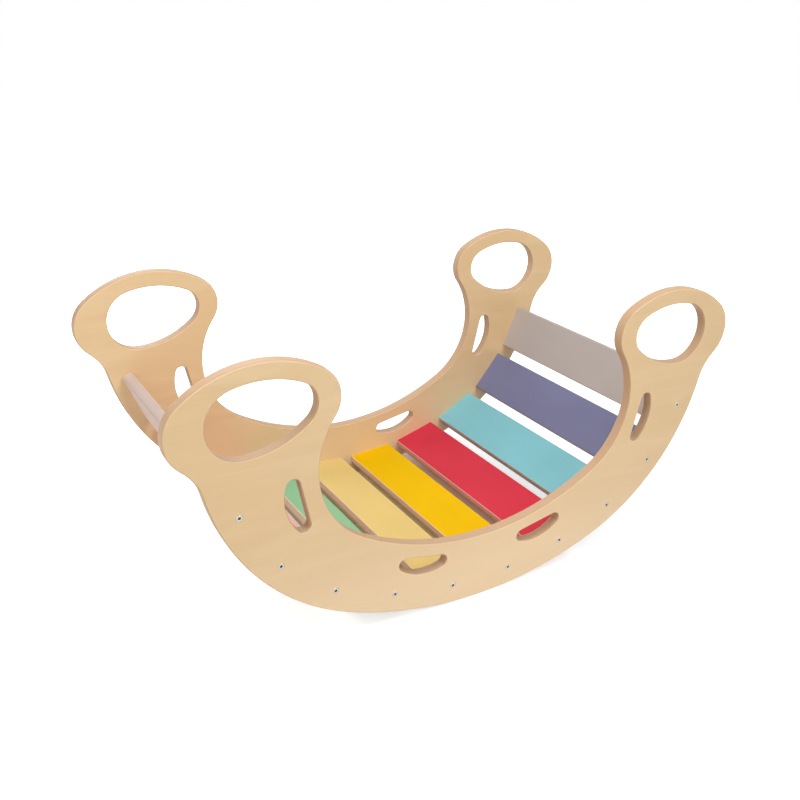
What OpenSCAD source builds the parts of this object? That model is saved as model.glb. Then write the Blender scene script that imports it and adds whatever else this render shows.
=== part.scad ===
// Wooden rocker arch: two plywood side panels with ring handles, joined by ten painted slats.
// Frame: +Z up, +X along the length, the front panel at -Y. The origin is on the floor, midway
// between the ends and midway between the panels. Every length is in millimetres.

/* [Overall] */
// Width over the outer faces of the two side panels
overall_w = 480; // [400:5:560]
// Thickness of a plywood side panel
panel_t = 18; // [15:1:24]

/* [Rocker curve] */
// Radius of the middle stretch, which rolls on the floor
rocker_r = 610; // [590:2:640]
// Half the angle of that middle stretch
rocker_half_angle = 22; // [19:0.5:25]
// Radius of the tighter stretch that runs up each end
rocker_end_r = 348; // [338:1:358]
// Length of the sanded flat at the lowest point
foot_flat = 12; // [8:1:16]

/* [Seat curve] */
// Height of a side panel at its middle
band_h = 110.5; // [105:0.5:118]
// Radius of the middle stretch of the seat curve
seat_r = 412; // [400:1:430]
// Radius of the tighter stretch that sweeps up each end into the ring
seat_end_r = 135; // [125:1:145]

/* [Ring handles] */
// Distance from the middle to the centre of the ring's outer end
ring_tip_x = 427; // [420:1:434]
// Height of that centre above the floor
ring_tip_z = 375; // [368:1:382]
// Radius of the ring's outer end
ring_tip_r = 56; // [52:1:60]
// Distance from the middle to the centre of the ring's inner end
ring_nose_x = 293; // [287:1:299]
// Height of that centre above the floor
ring_nose_z = 392; // [385:1:399]
// Radius of the ring's inner end
ring_nose_r = 49; // [45:1:53]
// Radius of the ring's flat upper arc
ring_top_r = 169; // [155:1:190]
// Fillet between the rocker curve and the ring
outer_neck_r = 78; // [68:1:88]

/* [Ring holes] */
// How far the hole's outer end centre lies inside the ring's
hole_tip_inset = 46; // [42:0.5:50]
// How far it lies above the ring's
hole_tip_raise = 4.5; // [2:0.5:7]
// Radius of the hole's outer end
hole_tip_r = 49.5; // [45:0.5:52]
// How far the hole's inner end centre lies outside the ring's
hole_nose_inset = 18; // [15:0.5:22]
// How far it lies below the ring's
hole_nose_drop = 2.5; // [0:0.5:5]
// Radius of the hole's inner end
hole_nose_r = 33; // [29:0.5:36]
// Radius of the hole's flat upper and lower arcs
hole_side_r = 142; // [125:1:165]

/* [Hand slots] */
// Depth of a D-shaped slot, from its straight side to its belly
slot_depth = 28.5; // [24:0.5:30]
// Radius of the slot's belly
slot_belly_r = 76; // [70:1:82]
// Radius of the slot's corners
slot_corner_r = 10; // [8:0.5:11]
// Angle round the seat curve at the middle of the lower slot
low_slot_at = 14.25; // [12:0.25:16]
// Wood left between the seat curve and the lower slot
low_slot_margin = 22; // [18:0.5:25]
// Turn of the lower slot away from the seat curve
low_slot_lean = -3; // [-5:0.5:2]
// Angle round the seat curve at the middle of the neck slot
neck_slot_at = 76; // [72:0.5:78]
// Wood left between the seat curve and the neck slot
neck_slot_margin = 26; // [23:0.5:30]
// Turn of the neck slot away from the seat curve
neck_slot_lean = 1.5; // [-1:0.5:4]

/* [Slats] */
// Width of a slat
slat_w = 85; // [76:1:90]
// Thickness of a slat
slat_t = 18; // [16:0.5:22]
// Rounding of a slat's long edges
slat_edge_r = 2.5; // [1:0.5:6]
// Depth of the slats' centre line inside the rocker curve
slat_line_inset = 31; // [29:0.5:36]
// Distance from slat to slat along that line
slat_pitch = 106.25; // [104:0.25:108]

/* [Fasteners] */
// Length of a connecting screw
screw_l = 50; // [45:1:60]
// Outer diameter of its thread
screw_d = 7; // [6:0.5:8]
// Diameter of its countersunk head
screw_head_d = 10; // [9:0.5:12]
// Height of the head's straight rim
screw_rim_h = 0.8; // [0.5:0.1:1.5]
// Size of its hexagon socket across the flats
socket_af = 4; // [3:0.5:5]
// Depth of that socket
socket_depth = 2.5; // [2:0.1:3]
// Diameter of a locating dowel
dowel_d = 8; // [6:0.5:10]
// Length of a locating dowel
dowel_l = 30; // [24:1:40]
// Length of dowel held in the side panel
dowel_in_panel = 10; // [8:0.5:12]
// Distance between the two dowels in a slat's end
dowel_spacing = 52; // [40:1:60]
// Gap all round a fastener in its hole
fastener_gap = 0.1; // [0.05:0.05:0.2]
// Gap past a fastener's end in its blind hole
end_gap = 0.5; // [0.3:0.1:0.8]

/* [Hidden] */

// Colours, slats from the -X end to the +X end
birch = "#E2C49A";
steel = "#C9CCD1";
beech = "#D9B98C";
slat_paint = [
    "#DCC3B6", "#E58B7B", "#DBB3A8", "#95C59F", "#EBD080",
    "#F5C200", "#D93B4E", "#86C3C8", "#7F7D9C", "#B4A9A2"
];
// How far each slat turns past the slat line, from the middle slats outwards
slat_lean = [0, 1, 1, 2.5, -0.5];

// Longest facet and largest turn between neighbouring points of an outline
facet_l = 9;
facet_turn = 6;
// Roundness of drilled holes and fasteners
$fn = 48;
// Overshoot of a cut past the face that it opens
cut = 1;

slat_count = len(slat_paint);
slats_a_side = slat_count / 2;
slat_l = overall_w - 2 * panel_t;
inner_face_y = slat_l / 2;
outer_face_y = overall_w / 2;

// ---- plane geometry; angles are measured from +X towards +Z ----

function dir(a) = [cos(a), sin(a)];
function bearing(from, to) = atan2(to.y - from.y, to.x - from.x);

// Point at r1 from c1 and at r2 from c2, on the left (1) or right (-1) of the way c1 to c2
function meet(c1, r1, c2, r2, side) =
    let (d = norm(c2 - c1))
    let (along = (d * d + r1 * r1 - r2 * r2) / (2 * d))
    let (off = sqrt(r1 * r1 - along * along))
    let (u = (c2 - c1) / d)
    c1 + along * u + side * off * [-u.y, u.x];

// Points of an arc without its last one, so that arcs can follow each other
function arc(c, r, a0, sweep) =
    let (n = ceil(max(abs(sweep) / facet_turn, abs(sweep) * PI / 180 * r / facet_l)))
    [for (i = [0:n - 1]) c + r * dir(a0 + sweep * i / n)];
function ccw(c, r, a0, a1) = arc(c, r, a0, ((a1 - a0) % 360 + 360) % 360);
function cw(c, r, a0, a1) = arc(c, r, a0, -(((a0 - a1) % 360 + 360) % 360));

// ---- side panel outline, half of it, from the foot round the ring to the seat ----

rocker_c = [0, sqrt(rocker_r * rocker_r - foot_flat * foot_flat / 4)];
foot_a = -90 + asin(foot_flat / 2 / rocker_r);
rocker_turn_a = -90 + rocker_half_angle;
rocker_end_c = rocker_c + (rocker_r - rocker_end_r) * dir(rocker_turn_a);

ring_tip_c = [ring_tip_x, ring_tip_z];
ring_nose_c = [ring_nose_x, ring_nose_z];
ring_top_c = meet(ring_tip_c, ring_top_r - ring_tip_r, ring_nose_c, ring_top_r - ring_nose_r, 1);

outer_neck_c = meet(
    rocker_end_c, rocker_end_r + outer_neck_r, ring_tip_c, ring_tip_r + outer_neck_r, -1
);

seat_c = [0, band_h + seat_r];
seat_end_c = meet(ring_nose_c, ring_nose_r + seat_end_r, seat_c, seat_r - seat_end_r, 1);
seat_turn_a = bearing(seat_c, seat_end_c);

half_outline = concat(
    ccw(rocker_c, rocker_r, foot_a, rocker_turn_a),
    ccw(rocker_end_c, rocker_end_r, rocker_turn_a, bearing(rocker_end_c, outer_neck_c)),
    cw(
        outer_neck_c, outer_neck_r,
        bearing(outer_neck_c, rocker_end_c), bearing(outer_neck_c, ring_tip_c)
    ),
    ccw(ring_tip_c, ring_tip_r, bearing(ring_tip_c, outer_neck_c), bearing(ring_top_c, ring_tip_c)),
    ccw(ring_top_c, ring_top_r, bearing(ring_top_c, ring_tip_c), bearing(ring_top_c, ring_nose_c)),
    ccw(
        ring_nose_c, ring_nose_r,
        bearing(ring_top_c, ring_nose_c), bearing(ring_nose_c, seat_end_c)
    ),
    cw(seat_end_c, seat_end_r, bearing(seat_end_c, ring_nose_c), seat_turn_a),
    cw(seat_c, seat_r, seat_turn_a, -90)
);

function mirrored(points) = [for (i = [len(points) - 1:-1:0]) [-points[i].x, points[i].y]];

module panel_outline() {
    polygon(concat(half_outline, [[0, band_h]], mirrored(half_outline)));
}

module ring_hole() {
    tip_c = ring_tip_c + [-hole_tip_inset, hole_tip_raise];
    nose_c = ring_nose_c + [hole_nose_inset, -hole_nose_drop];
    top_c = meet(tip_c, hole_side_r - hole_tip_r, nose_c, hole_side_r - hole_nose_r, 1);
    bottom_c = meet(tip_c, hole_side_r - hole_tip_r, nose_c, hole_side_r - hole_nose_r, -1);
    polygon(concat(
        ccw(tip_c, hole_tip_r, bearing(bottom_c, tip_c), bearing(top_c, tip_c)),
        ccw(top_c, hole_side_r, bearing(top_c, tip_c), bearing(top_c, nose_c)),
        ccw(nose_c, hole_nose_r, bearing(top_c, nose_c), bearing(bottom_c, nose_c)),
        ccw(bottom_c, hole_side_r, bearing(bottom_c, nose_c), bearing(bottom_c, tip_c))
    ));
}

// D-shaped slot: its straight side lies on the X axis and its belly hangs below
module hand_slot() {
    belly_c = [0, slot_belly_r - slot_depth];
    reach = slot_belly_r - slot_corner_r;
    corner_x = sqrt(reach * reach - pow(belly_c.y + slot_corner_r, 2));
    right_c = [corner_x, -slot_corner_r];
    left_c = [-corner_x, -slot_corner_r];
    polygon(concat(
        cw(right_c, slot_corner_r, 90, bearing(belly_c, right_c)),
        cw(belly_c, slot_belly_r, bearing(belly_c, right_c), bearing(belly_c, left_c)),
        cw(left_c, slot_corner_r, bearing(belly_c, left_c), 90),
        [left_c + [0, slot_corner_r]]
    ));
}

// Sets a slot beyond the seat curve, at the angle `at` round it
module on_seat_curve(at, margin, lean) {
    past_turn = at > seat_turn_a + 90;
    c = past_turn ? seat_end_c : seat_c;
    r = past_turn ? seat_end_r : seat_r;
    place = c + (r + margin) * dir(at - 90);
    translate(place) rotate(at + lean) children();
}

module both_ends() {
    children();
    mirror([1, 0]) children();
}

module panel_face() {
    difference() {
        panel_outline();
        both_ends() {
            ring_hole();
            on_seat_curve(low_slot_at, low_slot_margin, low_slot_lean) hand_slot();
            on_seat_curve(neck_slot_at, neck_slot_margin, neck_slot_lean) hand_slot();
        }
    }
}

// ---- slat places ----

// Angle and place of the point that lies `s` along the slat line from its middle
line_r = rocker_r - slat_line_inset;
line_end_r = rocker_end_r - slat_line_inset;
line_turn_s = line_r * rocker_half_angle * PI / 180;
function line_angle(s) =
    s < line_turn_s
    ? s / line_r * 180 / PI
    : rocker_half_angle + (s - line_turn_s) / line_end_r * 180 / PI;
function line_place(s) =
    s < line_turn_s
    ? rocker_c + line_r * dir(line_angle(s) - 90)
    : rocker_end_c + line_end_r * dir(line_angle(s) - 90);

// Slats are numbered from 0 at the -X end
function rank_from_middle(i) = i < slats_a_side ? slats_a_side - 1 - i : i - slats_a_side;
function side_of(i) = i < slats_a_side ? -1 : 1;

// Children are drawn about a slat's centre: X across the slat, Y along it, Z towards the rider
module at_slat(i) {
    rank = rank_from_middle(i);
    s = (rank + 0.5) * slat_pitch;
    place = line_place(s);
    angle = line_angle(s) + slat_lean[rank];
    translate([side_of(i) * place.x, 0, place.y])
        rotate([0, -side_of(i) * angle, 0])
            children();
}

module at_every_slat() {
    for (i = [0:slat_count - 1])
        at_slat(i) children();
}

// Draws children, made for the +Y end of a slat, at both dowel places
module at_dowels() {
    for (x = [-dowel_spacing / 2, dowel_spacing / 2])
        translate([x, 0, 0]) children();
}

// Turns children that point along +Z so that they point along +Y, outwards through the rear panel
module outwards() {
    rotate([-90, 0, 0]) children();
}

// ---- fasteners, drawn at the rear end of a slat ----

// A connecting screw or its hole: the head's face is flush with the panel's outer face
module screw_body(gap, past_end, past_head) {
    head_r = screw_head_d / 2 + gap;
    shank_r = screw_d / 2 + gap;
    cone_h = head_r - shank_r;
    translate([0, outer_face_y, 0]) outwards() rotate_extrude()
        polygon([
            [0, past_head],
            [head_r, past_head],
            [head_r, -screw_rim_h],
            [shank_r, -screw_rim_h - cone_h],
            [shank_r, -screw_l - past_end],
            [0, -screw_l - past_end]
        ]);
}

module screw() {
    difference() {
        screw_body(0, 0, 0);
        translate([0, outer_face_y - socket_depth, 0]) outwards()
            cylinder(r = socket_af / 2 / cos(30), h = socket_depth + cut, $fn = 6);
    }
}

module screw_hole() {
    screw_body(fastener_gap, end_gap, cut);
}

module dowel_body(gap, past_end) {
    translate([0, inner_face_y + dowel_in_panel - dowel_l - past_end, 0]) outwards()
        cylinder(d = dowel_d + 2 * gap, h = dowel_l + 2 * past_end);
}

// ---- the pieces ----

module rear_side_panel() {
    color(birch)
    difference() {
        translate([0, outer_face_y, 0]) rotate([90, 0, 0]) linear_extrude(panel_t) panel_face();
        at_every_slat() {
            screw_hole();
            at_dowels() dowel_body(fastener_gap, end_gap);
        }
    }
}

module front_side_panel() {
    mirror([0, 1, 0]) rear_side_panel();
}

module slat_section() {
    long = slat_w / 2 - slat_edge_r;
    high = slat_t / 2 - slat_edge_r;
    square([slat_w, 2 * high], center = true);
    square([2 * long, slat_t], center = true);
    for (x = [-long, long], z = [-high, high])
        translate([x, z]) circle(slat_edge_r);
}

module slat(i) {
    color(slat_paint[i])
    at_slat(i)
    difference() {
        rotate([90, 0, 0]) linear_extrude(slat_l, center = true) slat_section();
        for (end = [0, 1]) mirror([0, end, 0]) {
            screw_hole();
            at_dowels() dowel_body(fastener_gap, end_gap);
        }
    }
}

module rear_screws() {
    color(steel) at_every_slat() screw();
}

module front_screws() {
    mirror([0, 1, 0]) rear_screws();
}

module rear_dowels() {
    color(beech) at_every_slat() at_dowels() dowel_body(0, 0);
}

module front_dowels() {
    mirror([0, 1, 0]) rear_dowels();
}

front_side_panel();
rear_side_panel();
slat(0);  // rose_slat
slat(1);  // coral_slat
slat(2);  // blush_slat
slat(3);  // mint_slat
slat(4);  // straw_slat
slat(5);  // yellow_slat
slat(6);  // red_slat
slat(7);  // aqua_slat
slat(8);  // periwinkle_slat
slat(9);  // mauve_slat
front_screws();
rear_screws();
front_dowels();
rear_dowels();
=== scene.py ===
"""Dresses the wooden rocker arch: lacquered birch plywood panels, ten coloured slats and zinc screws.

Lengths are in metres, in the CAD frame: +X along the rocker, +Y across it, +Z up.
"""

import math

import bmesh
import bpy
from mathutils import Matrix, Vector


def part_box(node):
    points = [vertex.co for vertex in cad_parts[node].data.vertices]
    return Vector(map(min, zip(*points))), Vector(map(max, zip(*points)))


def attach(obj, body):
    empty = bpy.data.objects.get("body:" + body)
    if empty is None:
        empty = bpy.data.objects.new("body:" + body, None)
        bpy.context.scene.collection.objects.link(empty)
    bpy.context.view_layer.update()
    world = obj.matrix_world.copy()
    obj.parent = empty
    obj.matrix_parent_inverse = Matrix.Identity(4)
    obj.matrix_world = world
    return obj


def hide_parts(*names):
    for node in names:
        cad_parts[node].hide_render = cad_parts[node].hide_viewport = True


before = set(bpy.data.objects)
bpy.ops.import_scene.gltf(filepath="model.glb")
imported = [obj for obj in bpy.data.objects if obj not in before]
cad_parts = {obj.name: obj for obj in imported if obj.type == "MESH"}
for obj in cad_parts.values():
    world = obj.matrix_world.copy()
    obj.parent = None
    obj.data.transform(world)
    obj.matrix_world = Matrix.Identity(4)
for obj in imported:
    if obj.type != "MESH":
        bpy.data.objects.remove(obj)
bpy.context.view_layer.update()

MM = 0.001

# ---- sizes ----

PANEL_T = 18 * MM
OUTER_FACE_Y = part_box("rear_side_panel")[1][1]
PLIES = 13
PLY_T = PANEL_T / PLIES
PANEL_EDGE_R = 2.5 * MM
PANEL_EDGE_STEPS = 5
# Triangles of a CAD panel are joined across points this close and bends this slight
WELD = 0.005 * MM
FLAT = math.radians(0.1)
# A panel's edge counts as a rim from this angle up, within this distance of a broad face
RIM_ANGLE = math.radians(60)
ON_FACE = 0.01 * MM
# Rims no wider than this are the fasteners' holes, which stay sharp
SMALLEST_RIM = 20 * MM

SLAT_W = 85 * MM
SLAT_T = 18 * MM
SLAT_EDGE_R = 2.5 * MM
SLAT_EDGE_STEPS = 6
SLAT_END_EASE = 0.4 * MM
SLAT_END_STEPS = 2
# A slat's ends stay this clear of the panels, so that no two faces lie in one plane
SLAT_LIFT_OFF = 0.02 * MM

SCREW_L = 50 * MM
SHANK_R = 3.5 * MM
HEAD_R = 5 * MM
RIM_H = 0.8 * MM
HEAD_CHAMFER = 0.35 * MM
HEAD_SIDES = 48
# From the middle of a 4 mm hexagon to its corners
SOCKET_R = 2.31 * MM
SOCKET_SIDES = 6
SOCKET_DEPTH = 2.5 * MM

# Bends smaller than these shade as one smooth surface
WOOD_SMOOTH = math.radians(35)
ZINC_SMOOTH = math.radians(30)

# Slats from the -X end to the +X end, with the colour of their faces
SLATS = {
    "rose": "#E2CABE",
    "coral": "#EC9180",
    "blush": "#E2B9AE",
    "mint": "#8FC094",
    "straw": "#DEC27A",
    "yellow": "#E6B600",
    "red": "#CB3646",
    "aqua": "#81BEC8",
    "periwinkle": "#797B9B",
    "mauve": "#B6AEAA",
}

# ---- the camera, fitted to the photograph's 800 x 800 frame ----

FRAME_PX = 800
FOCAL_PX = 911.4
CENTRE_PX = (412.3, 400.1)
CAMERA_PLACE = (-0.7394, -1.2167, 0.8557)
CAMERA_YAW = math.radians(31.68)
CAMERA_PITCH = math.radians(23.19)
CAMERA_ROLL = math.radians(1.54)


def add_camera():
    data = bpy.data.cameras.new("camera")
    data.sensor_width = 36
    data.lens = FOCAL_PX / FRAME_PX * data.sensor_width
    data.shift_x = 0.5 - CENTRE_PX[0] / FRAME_PX
    data.shift_y = CENTRE_PX[1] / FRAME_PX - 0.5
    camera = bpy.data.objects.new("camera", data)
    bpy.context.collection.objects.link(camera)
    turn = (
        Matrix.Rotation(-CAMERA_YAW, 4, "Z")
        @ Matrix.Rotation(math.pi / 2 - CAMERA_PITCH, 4, "X")
        @ Matrix.Rotation(CAMERA_ROLL, 4, "Z")
    )
    camera.matrix_world = Matrix.Translation(CAMERA_PLACE) @ turn
    bpy.context.scene.camera = camera


# ---- materials as expressions ----


def tint(hex_colour):
    """Linear colour of a written sRGB one."""
    channels = [int(hex_colour[i : i + 2], 16) / 255 for i in (1, 3, 5)]
    return (*(c / 12.92 if c <= 0.04045 else ((c + 0.055) / 1.055) ** 2.4 for c in channels), 1)


class Value:
    """A number that varies over a surface. Arithmetic on it adds Math nodes to its finish."""

    def __init__(self, finish, socket):
        self.finish = finish
        self.socket = socket

    def math(self, operation, *others):
        numbers = dict(enumerate((self, *others)))
        return self.finish.node("ShaderNodeMath", {"operation": operation}, numbers)

    def __add__(self, other):
        return self.math("ADD", other)

    __radd__ = __add__

    def __sub__(self, other):
        return self.math("SUBTRACT", other)

    def __rsub__(self, other):
        return self * -1 + other

    def __mul__(self, other):
        return self.math("MULTIPLY", other)

    __rmul__ = __mul__

    def __truediv__(self, other):
        return self.math("DIVIDE", other)

    def ramp(self, low, high):
        """0 below low, 1 above high and a smooth rise between."""
        sockets = {"Value": self, "From Min": low, "From Max": high}
        return self.finish.node(
            "ShaderNodeMapRange", {"interpolation_type": "SMOOTHSTEP"}, sockets, "Result"
        )


class Finish:
    """The nodes of a material or of the world, being written down."""

    def __init__(self, owner):
        owner.use_nodes = True
        self.owner = owner
        self.tree = owner.node_tree
        self.tree.nodes.clear()

    def node(self, kind, settings, sockets, output=0):
        """Adds a node, sets it up, then fills its sockets with numbers, colours or links."""
        made = self.tree.nodes.new(kind)
        for setting, value in settings.items():
            setattr(made, setting, value)
        for key, value in sockets.items():
            if isinstance(value, Value):
                self.tree.links.new(value.socket, made.inputs[key])
            else:
                made.inputs[key].default_value = value
        return Value(self, made.outputs[output]) if made.outputs else None

    def read(self, coordinate, centre, turn):
        """A coordinate of the piece, measured from a centre and turned with the piece."""
        here = self.node("ShaderNodeTexCoord", {}, {}, coordinate)
        sockets = {"Vector": here, "Location": centre, "Rotation": turn}
        return self.node("ShaderNodeMapping", {"vector_type": "TEXTURE"}, sockets)

    def place(self, centre=(0, 0, 0), turn=(0, 0, 0)):
        return self.read("Object", centre, turn)

    def facing(self, turn=(0, 0, 0)):
        return self.read("Normal", (0, 0, 0), turn)

    def axes(self, vector, names):
        """The named components of a vector."""
        return [self.node("ShaderNodeSeparateXYZ", {}, {0: vector}, name) for name in names]

    def unsigned(self, vector, names):
        """The named components without their sign, for what is alike on both sides."""
        return [axis.math("ABSOLUTE") for axis in self.axes(vector, names)]

    def length(self, vector):
        return self.node("ShaderNodeVectorMath", {"operation": "LENGTH"}, {0: vector}, "Value")

    def noise(self, vector, stretch, scale=1, detail=3, roughness=0.6, distortion=0):
        """Noise whose fineness along each axis is given by the stretch."""
        drawn = self.node("ShaderNodeVectorMath", {"operation": "MULTIPLY"}, {0: vector, 1: stretch})
        sockets = {
            "Vector": drawn,
            "Scale": scale,
            "Detail": detail,
            "Roughness": roughness,
            "Distortion": distortion,
        }
        return self.node("ShaderNodeTexNoise", {"noise_dimensions": "3D"}, sockets)

    def mix(self, share, first, second):
        """The first colour, giving way to the second as the share rises to 1."""
        settings = {"data_type": "RGBA", "blend_type": "MIX", "clamp_factor": True}
        return self.node("ShaderNodeMix", settings, {0: share, 6: first, 7: second}, 2)

    def bump(self, height, distance, strength):
        return self.node(
            "ShaderNodeBump", {}, {"Height": height, "Distance": distance, "Strength": strength}
        )

    def surface(self, sockets):
        shader = self.node("ShaderNodeBsdfPrincipled", {}, sockets)
        self.node("ShaderNodeOutputMaterial", {}, {"Surface": shader})
        return self.owner


def new_finish(name):
    return Finish(bpy.data.materials.new(name))


# ---- birch plywood ----

VENEER = tint("#DFBF92")
VENEER_LIGHT = tint("#E6CA9F")
VENEER_DARK = tint("#CEA97B")
# Each marking has its fineness along the grain and across it, the levels of noise between
# which it comes in, and its share of the colour
FIGURE = (1.6, 9, 9)
FIGURE_LEVELS = (0.4, 0.7)
FIGURE_SHARE = 0.6
FIBRES = (18, 420, 420)
FIBRE_LEVELS = (0.5, 0.8)
FIBRE_SHARE = 0.16
FLECKS = (60, 900, 900)
FLECK_LEVELS = (0.68, 0.8)
FLECK_SHARE = 0.2

# Painted light from below: the panels pale towards the bottom of the arch, between these heights
VENEER_PAINTED_BOUNCE = tint("#E9CEA8")
PAINTED_BOUNCE_SHARE = 0.9
PAINTED_BOUNCE_HEIGHTS = (20 * MM, 200 * MM)

# Depths between which the face veneer gives way to the plies, round the rim
VENEER_WEARS = (0.25 * MM, 0.75 * MM)
LONG_GRAIN = tint("#CAA98D")
END_GRAIN = tint("#B7946F")
# How squarely the grain is cut where a ply starts to look like end grain, and where it does fully
END_GRAIN_LEVELS = (0.15, 0.9)
# Fineness and share of the uneven tone of the plies
SHADE = (90, 90, 90)
SHADE_SHARE = 0.2
GLUE = tint("#8E6B4C")
GLUE_SHARE = 0.45
# Distances from the middle of a ply, in plies, at which the glue starts and is fully dark
GLUE_LINE = (0.4, 0.5)

# Painted light: a slat's edges are paler near its upper face, where light falls in between
# the slats. It fades out between these depths under the upper face
PAINTED_LIGHT_EDGE = tint("#FDDECB")
PAINTED_LIGHT_END_GRAIN = tint("#F3D2BB")
PAINTED_LIGHT_DEPTHS = (9 * MM, 15 * MM)

# Roughness of the lacquer, what the fibres and the edges add to it, and the fibres' height
LACQUER_ROUGHNESS = 0.42
LACQUER_FIBRES = 0.12
LACQUER_EDGE = 0.08
LACQUER_RELIEF = 0.05 * MM


def veneer_colour(finish, grain_place):
    """Rotary cut birch: broad soft figure and fine fibres along the first axis."""
    figure = finish.noise(grain_place, FIGURE, scale=2.2, roughness=0.55, distortion=0.6)
    fibres = finish.noise(grain_place, FIBRES)
    flecks = finish.noise(grain_place, FLECKS, detail=2, roughness=0.5)
    colour = finish.mix(figure.ramp(*FIGURE_LEVELS) * FIGURE_SHARE, VENEER, VENEER_LIGHT)
    colour = finish.mix(fibres.ramp(*FIBRE_LEVELS) * FIBRE_SHARE, colour, VENEER_DARK)
    colour = finish.mix(flecks.ramp(*FLECK_LEVELS) * FLECK_SHARE, colour, VENEER_DARK)
    return colour, fibres


def plies_colour(finish, depth, along, across, place, painted_light=None):
    """Edge of the board. Along and across say how squarely it cuts the two grain directions."""
    layer = depth / PLY_T
    number = layer.math("FLOOR")
    odd = number.math("MODULO", 2)
    within = layer - number
    squareness = along + odd * (across - along)
    shade = finish.noise(place, SHADE)
    end_grain = squareness.ramp(*END_GRAIN_LEVELS) * (1 - SHADE_SHARE) + shade * SHADE_SHARE
    colour = finish.mix(end_grain, LONG_GRAIN, END_GRAIN)
    # Painted light on the upper part of a slat's edge
    if painted_light is not None:
        colour = finish.mix(painted_light, colour, finish.mix(end_grain, PAINTED_LIGHT_EDGE, PAINTED_LIGHT_END_GRAIN))
    glue_line = (within - 0.5).math("ABSOLUTE").ramp(*GLUE_LINE)
    return finish.mix(glue_line * GLUE_SHARE, colour, GLUE)


def plywood_panel():
    """The grain runs along X. Depth is measured from the panel's outer face inwards."""
    finish = new_finish("birch_plywood")
    place = finish.place()
    [out] = finish.unsigned(place, "Y")
    [height] = finish.axes(place, "Z")
    nx, nz = finish.unsigned(finish.facing(), "XZ")
    depth = OUTER_FACE_Y - out
    from_face = depth.math("MINIMUM", PANEL_T - depth)
    face, fibres = veneer_colour(finish, place)
    # Painted light from below: paler veneer towards the bottom of the arch
    painted_bounce = 1 - height.ramp(*PAINTED_BOUNCE_HEIGHTS)
    face = finish.mix(painted_bounce * PAINTED_BOUNCE_SHARE, face, VENEER_PAINTED_BOUNCE)
    edge = plies_colour(finish, depth, nx, nz, place)
    inside = from_face.ramp(*VENEER_WEARS)
    return finish.surface(
        {
            "Base Color": finish.mix(inside, face, edge),
            "Roughness": fibres * LACQUER_FIBRES + inside * LACQUER_EDGE + LACQUER_ROUGHNESS,
            "Normal": finish.bump(fibres, LACQUER_RELIEF, strength=0.3),
            "Specular IOR Level": 0.3,
            "Coat Weight": 0.05,
            "Coat Roughness": 0.3,
        }
    )


# ---- coloured slats ----

# In clouds and along fibres the colour is deeper, down to this share of the written one
DEEP = 0.9
CLOUDS = (14, 5, 14)
CLOUD_LEVELS = (0.35, 0.7)
CLOUD_SHARE = 0.45
DEEP_FIBRES = 0.15
# Roughness of the colour, what the fibres add to it, and their height
PAINT_ROUGHNESS = 0.55
PAINT_FIBRES = 0.1
PAINT_RELIEF = 0.03 * MM
# Depths between which the colour of a slat's face ends, on the rounding
PAINT_ENDS = (0.38 * MM, 0.62 * MM)
# Share of a slat's face colour mixed into its edges
EDGE_FACE_SHARE = 0.2
# Slats whose edges get a tone of their own, with its share
OWN_EDGE_TONES = {
    "rose": ("#BFADA5", 0.9),
    "red": ("#EE9A8A", 0.6),
    "aqua": ("#A08E82", 0.6),
    "periwinkle": ("#6F6A80", 0.75),
    "mauve": ("#A89C93", 0.8),
}


def painted_slat(colour_name, colour, centre, tilt):
    """Colour on the two broad faces of a slat of plywood, whose grain runs along Y."""
    finish = new_finish(colour_name + "_paint")
    turn = (0, -tilt, 0)
    place = finish.place(centre, turn)
    x, y, z = finish.axes(place, "XYZ")
    nx, ny = finish.unsigned(finish.facing(turn), "XY")
    from_bottom = z + SLAT_T / 2
    from_top = SLAT_T - from_bottom
    from_face = from_bottom.math("MINIMUM", from_top)
    grain_place = finish.node("ShaderNodeCombineXYZ", {}, {"X": y, "Y": x, "Z": z})
    veneer, fibres = veneer_colour(finish, grain_place)
    # Painted light: the edge is paler near the slat's upper face
    painted_light = 1 - from_top.ramp(*PAINTED_LIGHT_DEPTHS)
    edge = plies_colour(finish, from_bottom, ny, nx, place, painted_light)
    bare = finish.mix(from_face.ramp(*VENEER_WEARS), veneer, edge)
    edge_tone, share = OWN_EDGE_TONES.get(colour_name, (colour, EDGE_FACE_SHARE))
    toned_edge = finish.mix(share, bare, tint(edge_tone))
    clouds = finish.noise(place, CLOUDS)
    paint = tint(colour)
    deep = (*(DEEP * channel for channel in paint[:3]), 1)
    deepened = clouds.ramp(*CLOUD_LEVELS) * CLOUD_SHARE + fibres * DEEP_FIBRES
    coloured = finish.mix(deepened, paint, deep)
    return finish.surface(
        {
            "Base Color": finish.mix(from_face.ramp(*PAINT_ENDS), coloured, toned_edge),
            "Roughness": fibres * PAINT_FIBRES + PAINT_ROUGHNESS,
            "Normal": finish.bump(fibres, PAINT_RELIEF, strength=0.25),
            "Specular IOR Level": 0.05,
        }
    )


# ---- screws and dowels ----

ZINC = tint("#C4C0B4")
ZINC_DULL = tint("#A3A098")
ZINC_ROUGHNESS = 0.25
MOTTLE = (900, 900, 900)
MOTTLE_LEVELS = (0.3, 0.7)
MOTTLE_ROUGHNESS = 0.2
SOCKET_PAINTED_SHADE = tint("#75736D")
# Depths between which painted shade darkens the plate into the socket
SOCKET_SHADE_DEPTHS = (0.3 * MM, 1.6 * MM)

BEECH = tint("#DDBB8F")
BEECH_DARK = tint("#B98F61")
BEECH_ROUGHNESS = 0.5
RAYS = (900, 60, 900)
RAY_LEVELS = (0.3, 0.8)
RAY_ROUGHNESS = 0.2


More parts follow.
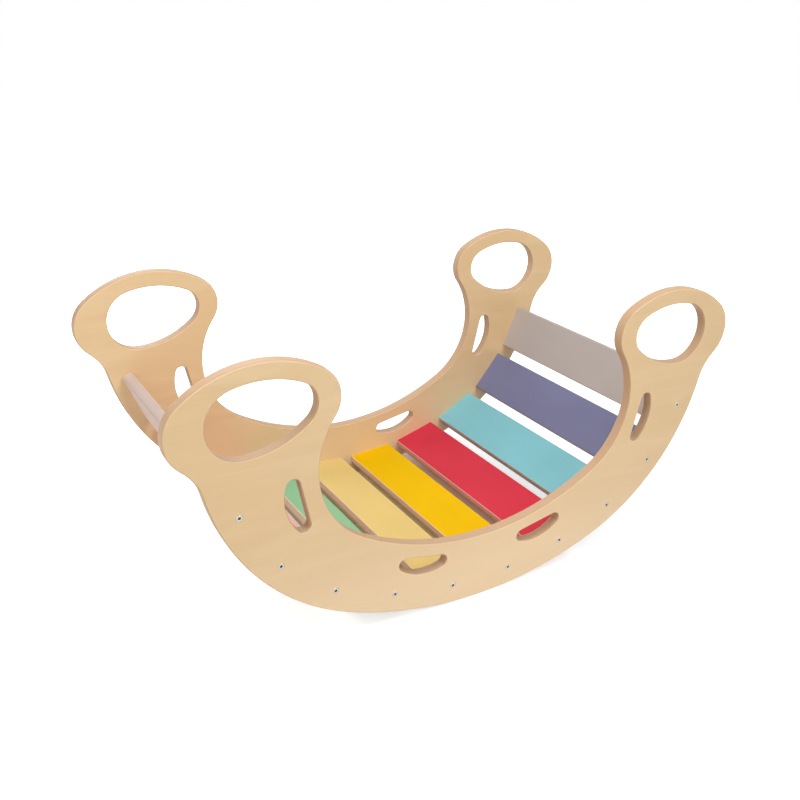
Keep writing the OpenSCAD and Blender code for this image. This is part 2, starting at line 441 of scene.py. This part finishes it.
def zinc():
    """Bright zinc plate, with painted shade inside the socket."""
    finish = new_finish("zinc")
    place = finish.place()
    [out] = finish.unsigned(place, "Y")
    mottle = finish.noise(place, MOTTLE)
    # Painted shade in the socket's recess
    socket_shade = (OUTER_FACE_Y - out).ramp(*SOCKET_SHADE_DEPTHS)
    plate = finish.mix(mottle.ramp(*MOTTLE_LEVELS), ZINC, ZINC_DULL)
    return finish.surface(
        {
            "Base Color": finish.mix(socket_shade, plate, SOCKET_PAINTED_SHADE),
            "Roughness": mottle * MOTTLE_ROUGHNESS + ZINC_ROUGHNESS,
            "Metallic": 0.9,
        }
    )


def bare_beech():
    finish = new_finish("bare_beech")
    rays = finish.noise(finish.place(), RAYS)
    colour = finish.mix(rays.ramp(*RAY_LEVELS), BEECH, BEECH_DARK)
    roughness = rays * RAY_ROUGHNESS + BEECH_ROUGHNESS
    return finish.surface({"Base Color": colour, "Roughness": roughness})


# ---- pieces ----


def deselect_all():
    if bpy.context.object and bpy.context.object.mode != "OBJECT":
        bpy.ops.object.mode_set(mode="OBJECT")
    bpy.ops.object.select_all(action="DESELECT")


def make_active(piece):
    deselect_all()
    piece.select_set(True)
    bpy.context.view_layer.objects.active = piece


def dress(piece, material, node):
    piece.data.materials.clear()
    piece.data.materials.append(material)
    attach(piece, "root")
    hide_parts(node)


def round_edges(piece, choose, radius, steps, slide=True):
    """In edit mode, rounds over the edges that choose picks from the piece's mesh."""
    bpy.ops.mesh.select_mode(type="EDGE")
    bpy.ops.mesh.select_all(action="DESELECT")
    mesh = bmesh.from_edit_mesh(piece.data)
    for edge in choose(mesh):
        edge.select_set(True)
    bmesh.update_edit_mesh(piece.data)
    bpy.ops.mesh.bevel(
        offset=radius, segments=steps, profile=0.5, affect="EDGES", loop_slide=slide
    )


def smooth_like_wood(piece):
    """Round stretches shade smooth, and broad flat faces keep their own normals."""
    make_active(piece)
    bpy.ops.object.shade_smooth_by_angle(angle=WOOD_SMOOTH)
    weighted = piece.modifiers.new("flat_faces", "WEIGHTED_NORMAL")
    weighted.keep_sharp = True
    bpy.ops.object.modifier_apply(modifier=weighted.name)


def is_sharp_rim(edge):
    """An edge where a flat panel face meets a wall square to it."""
    if len(edge.link_faces) != 2 or edge.calc_face_angle() < RIM_ANGLE:
        return False
    return any(
        all(abs(abs(v.co.y) - face_y) < ON_FACE for v in edge.verts)
        for face_y in (OUTER_FACE_Y, OUTER_FACE_Y - PANEL_T)
    )


def long_rims(mesh):
    """The rims of the outline, ring holes and hand slots, without the fasteners' holes."""
    left = {edge for edge in mesh.edges if is_sharp_rim(edge)}
    chosen = []
    while left:
        rim = []
        waiting = [next(iter(left))]
        while waiting:
            edge = waiting.pop()
            if edge in left:
                left.discard(edge)
                rim.append(edge)
                waiting += [near for v in edge.verts for near in v.link_edges if near in left]
        across = [v.co.x for edge in rim for v in edge.verts]
        if max(across) - min(across) > SMALLEST_RIM:
            chosen += rim
    return chosen


def make_panel(node, name):
    """A copy of a CAD panel, with its loose triangles merged and its long rims rounded."""
    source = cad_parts[node]
    panel = source.copy()
    panel.data = source.data.copy()
    panel.name = name
    bpy.context.collection.objects.link(panel)
    make_active(panel)
    bpy.ops.object.mode_set(mode="EDIT")
    bpy.ops.mesh.select_all(action="SELECT")
    bpy.ops.mesh.remove_doubles(threshold=WELD)
    bpy.ops.mesh.dissolve_limited(angle_limit=FLAT)
    # Sliding along the edges that cross the flat faces would fold the rounding over
    round_edges(panel, long_rims, PANEL_EDGE_R, PANEL_EDGE_STEPS, slide=False)
    bpy.ops.object.mode_set(mode="OBJECT")
    smooth_like_wood(panel)
    return panel


def slat_stand(node):
    """Centre and tilt of a slat, worked out from its box in the frame."""
    low, high = (Vector(corner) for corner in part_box(node))
    flat_w = SLAT_W - 2 * SLAT_EDGE_R
    flat_t = SLAT_T - 2 * SLAT_EDGE_R
    reach_x = high.x - low.x - 2 * SLAT_EDGE_R
    reach_z = high.z - low.z - 2 * SLAT_EDGE_R
    tilt = math.atan2(
        flat_w * reach_z - flat_t * reach_x,
        flat_w * reach_x - flat_t * reach_z,
    )
    centre = (low + high) / 2
    return centre, math.copysign(tilt, centre.x), high.y - low.y


def long_edges(mesh):
    """A slat's edges from one end to the other."""
    return [edge for edge in mesh.edges if edge.verts[0].co.y * edge.verts[1].co.y < 0]


def end_edges(mesh):
    return [edge for edge in mesh.edges if edge.verts[0].co.y * edge.verts[1].co.y > 0]


def make_slat(name, centre, tilt, length):
    """A board along Y with rounded long edges and eased ends, turned into its place."""
    deselect_all()
    bpy.ops.mesh.primitive_cube_add(size=1)
    slat = bpy.context.object
    slat.name = name
    slat.scale = (SLAT_W, length - 2 * SLAT_LIFT_OFF, SLAT_T)
    bpy.ops.object.transform_apply(location=False, rotation=False, scale=True)
    bpy.ops.object.mode_set(mode="EDIT")
    round_edges(slat, long_edges, SLAT_EDGE_R, SLAT_EDGE_STEPS)
    round_edges(slat, end_edges, SLAT_END_EASE, SLAT_END_STEPS)
    bpy.ops.object.mode_set(mode="OBJECT")
    smooth_like_wood(slat)
    slat.rotation_euler = (0, -tilt, 0)
    slat.location = centre
    bpy.ops.object.transform_apply(location=True, rotation=True, scale=False)
    return slat


def make_screw():
    """A connecting screw along Z, its head's face at the origin, cut out round a hexagon socket."""
    deselect_all()
    bpy.ops.mesh.primitive_circle_add(vertices=HEAD_SIDES, radius=SHANK_R, fill_type="NGON")
    screw = bpy.context.object
    screw.name = "screw"
    bpy.ops.object.mode_set(mode="EDIT")
    bpy.ops.mesh.select_all(action="SELECT")
    bpy.ops.transform.translate(value=(0, 0, -SCREW_L))
    steps = [
        (SHANK_R, -RIM_H - (HEAD_R - SHANK_R)),
        (HEAD_R, -RIM_H),
        (HEAD_R, -HEAD_CHAMFER),
        (HEAD_R - HEAD_CHAMFER, 0),
    ]
    radius, height = SHANK_R, -SCREW_L
    for next_radius, next_height in steps:
        rise = {"value": (0, 0, next_height - height)}
        bpy.ops.mesh.extrude_region_move(TRANSFORM_OT_translate=rise)
        grow = next_radius / radius
        bpy.ops.transform.resize(value=(grow, grow, 1))
        radius, height = next_radius, next_height
    bpy.ops.mesh.select_all(action="SELECT")
    bpy.ops.mesh.normals_make_consistent(inside=False)
    deselect_all()
    bpy.ops.mesh.primitive_cylinder_add(
        vertices=SOCKET_SIDES, radius=SOCKET_R, depth=2 * SOCKET_DEPTH
    )
    socket = bpy.context.object
    make_active(screw)
    cut = screw.modifiers.new("socket", "BOOLEAN")
    cut.operation = "DIFFERENCE"
    cut.object = socket
    bpy.ops.object.modifier_apply(modifier=cut.name)
    bpy.data.objects.remove(socket)
    bpy.ops.object.shade_smooth_by_angle(angle=ZINC_SMOOTH)
    return screw


def place_screws(screw, places, side, name):
    """One piece with a copy of the screw at each place, pointing in from a panel's outer face."""
    copies = []
    for place in places:
        copy = screw.copy()
        copy.data = screw.data.copy()
        bpy.context.collection.objects.link(copy)
        copy.rotation_euler = (side * -math.pi / 2, 0, 0)
        copy.location = (place.x, side * OUTER_FACE_Y, place.z)
        copies.append(copy)
    deselect_all()
    for copy in copies:
        copy.select_set(True)
    bpy.context.view_layer.objects.active = copies[0]
    bpy.ops.object.join()
    group = bpy.context.object
    group.name = name
    bpy.ops.object.transform_apply(location=True, rotation=True, scale=True)
    return group


# ---- the part ----

add_camera()

birch = plywood_panel()
for node in ("front_side_panel", "rear_side_panel"):
    dress(make_panel(node, node + "_look"), birch, node)

centres = []
for colour_name, colour in SLATS.items():
    node = colour_name + "_slat"
    centre, tilt, length = slat_stand(node)
    centres.append(centre)
    slat = make_slat(node + "_look", centre, tilt, length)
    finish = painted_slat(colour_name, colour, centre, tilt)
    dress(slat, finish, node)

plated = zinc()
screw = make_screw()
for node, side in (("front_screws", -1), ("rear_screws", 1)):
    screws = place_screws(screw, centres, side, node + "_look")
    dress(screws, plated, node)
bpy.data.objects.remove(screw)

beech = bare_beech()
for node in ("front_dowels", "rear_dowels"):
    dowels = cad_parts[node]
    dowels.data.materials.clear()
    dowels.data.materials.append(beech)

# ---- floor, light and backdrop ----

FLOOR_SIZE = 14
FLOOR_TONE = (0.8, 0.8, 0.8, 1)
WHITE = (1, 1, 1, 1)
# How the floor glows for the camera: faint under the slats, with a painted warm reflection
# of the wood there, half white round the rocker, where its shadow falls, and white further off
GLOW_UNDER_PAINTED_BOUNCE = tint("#533C14")
GLOW_AROUND = (0.6, 0.6, 0.6, 1)
# Distances from the rocker's middle between which the floor turns white
WHITENS = (0.55, 1.5)
# Distances from this point between which the warm part fades, along X and along Y
UNDER_CENTRE = (0.02, 0.06, 0)
UNDER_X = (0.18, 0.256)
UNDER_Y = (0.18, 0.27)
AMBIENT = 0.2

# White disk lamps: place, point they aim at, diameter and watts
LAMPS = {
    "key": ((0.9, -1.6, 2.3), (0, 0, 0.15), 0.6, 12.5),
    "front": ((0.3, -2.2, 1.8), (0, 0, 0.15), 1.0, 11.5),
    "near_top": ((0, -0.4, 1.7), (0, 0, 0.15), 1.2, 13),
    "high_left": ((-2.0, -0.4, 2.4), (0, 0, 0.15), 1.6, 25),
    "left": ((-1.4, -0.7, 0.8), (0, 0, 0.2), 0.8, 4),
    "low_front": ((0.1, -0.95, 0.12), (0.1, 0, 0.05), 0.5, 0.6),
    "rear": ((0.4, 2.4, 1.8), (0, 0, 0.15), 1.6, 16),
    "low_rear": ((-0.3, 2.6, 0.6), (0, 0, 0.2), 1.2, 22),
}


def seen_or_reflected(finish):
    """1 for what the camera, gloss and glass see, 0 for the light that falls on the object."""
    rays = [
        finish.node("ShaderNodeLightPath", {}, {}, ray)
        for ray in ("Is Camera Ray", "Is Glossy Ray", "Is Transmission Ray")
    ]
    return rays[0].math("MAXIMUM", rays[1]).math("MAXIMUM", rays[2])


def add_floor():
    """White paper. It is lifted for the camera, but keeps the shadow under the slats, where it glows
    with a painted warm reflection of the wood.
    """
    deselect_all()
    bpy.ops.mesh.primitive_plane_add(size=FLOOR_SIZE)
    floor = bpy.context.object
    floor.name = "floor"
    finish = new_finish("paper")
    x, y = finish.unsigned(finish.place(UNDER_CENTRE), "XY")
    beside = x.ramp(*UNDER_X)
    beyond = y.ramp(*UNDER_Y)
    # Painted warm reflection of the wood on the floor under the slats
    hue = finish.mix(beside + beyond - beside * beyond, GLOW_UNDER_PAINTED_BOUNCE, GLOW_AROUND)
    hue = finish.mix(finish.length(finish.place()).ramp(*WHITENS), hue, WHITE)
    strength = seen_or_reflected(finish)
    paper = finish.node("ShaderNodeBsdfDiffuse", {}, {"Color": FLOOR_TONE})
    glow = finish.node("ShaderNodeEmission", {}, {"Color": hue, "Strength": strength})
    both = finish.node("ShaderNodeAddShader", {}, {0: paper, 1: glow})
    finish.node("ShaderNodeOutputMaterial", {}, {"Surface": both})
    floor.data.materials.append(finish.owner)


def add_world():
    world = bpy.data.worlds.new("studio")
    bpy.context.scene.world = world
    backdrop = Finish(world)
    strength = seen_or_reflected(backdrop) * (1 - AMBIENT) + AMBIENT
    glow = backdrop.node("ShaderNodeBackground", {}, {"Color": WHITE, "Strength": strength})
    backdrop.node("ShaderNodeOutputWorld", {}, {"Surface": glow})


def add_lamp(name, place, aim, size, watts):
    data = bpy.data.lights.new(name, "AREA")
    data.shape = "DISK"
    data.size = size
    data.energy = watts
    lamp = bpy.data.objects.new(name, data)
    bpy.context.collection.objects.link(lamp)
    lamp.visible_camera = False
    lamp.location = place
    away = Vector(place) - Vector(aim)
    lamp.rotation_euler = away.to_track_quat("Z", "Y").to_euler()


add_floor()
add_world()
for name, lamp in LAMPS.items():
    add_lamp(name, *lamp)

bpy.context.scene.view_settings.view_transform = "Standard"

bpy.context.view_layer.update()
